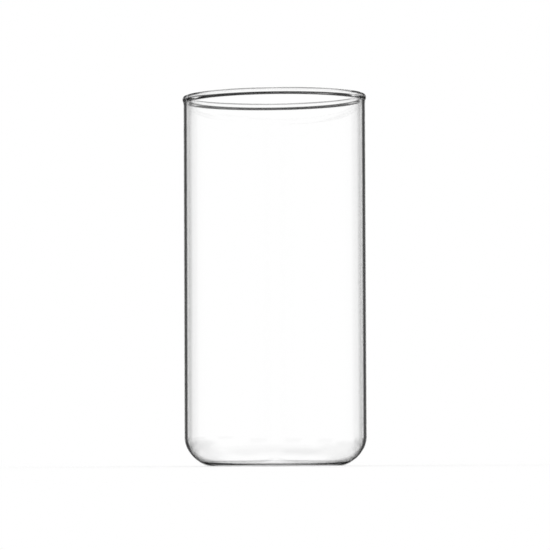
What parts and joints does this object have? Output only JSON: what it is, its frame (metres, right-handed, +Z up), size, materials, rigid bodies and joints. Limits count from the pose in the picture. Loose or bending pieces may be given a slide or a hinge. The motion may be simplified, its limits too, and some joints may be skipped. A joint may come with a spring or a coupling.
{
  "type": "glass tumbler",
  "caption": "Clear straight-walled glass tumbler with a beaded rim, a rounded bottom corner and a flat foot, for holding a drink.",
  "frame": {"origin": "centre of the foot, on the surface that the glass stands on", "axes": "+Z up along the axis of the glass, from the foot to the rim; the glass is round, so X and Y are free"},
  "size_m": [0.0708, 0.0708, 0.1425],
  "materials": {
    "clear_glass": "clear, fire-polished, smooth inside and out"
  },
  "bodies": {
    "root": {"glass_body": "clear_glass"}
  },
  "joints": []
}
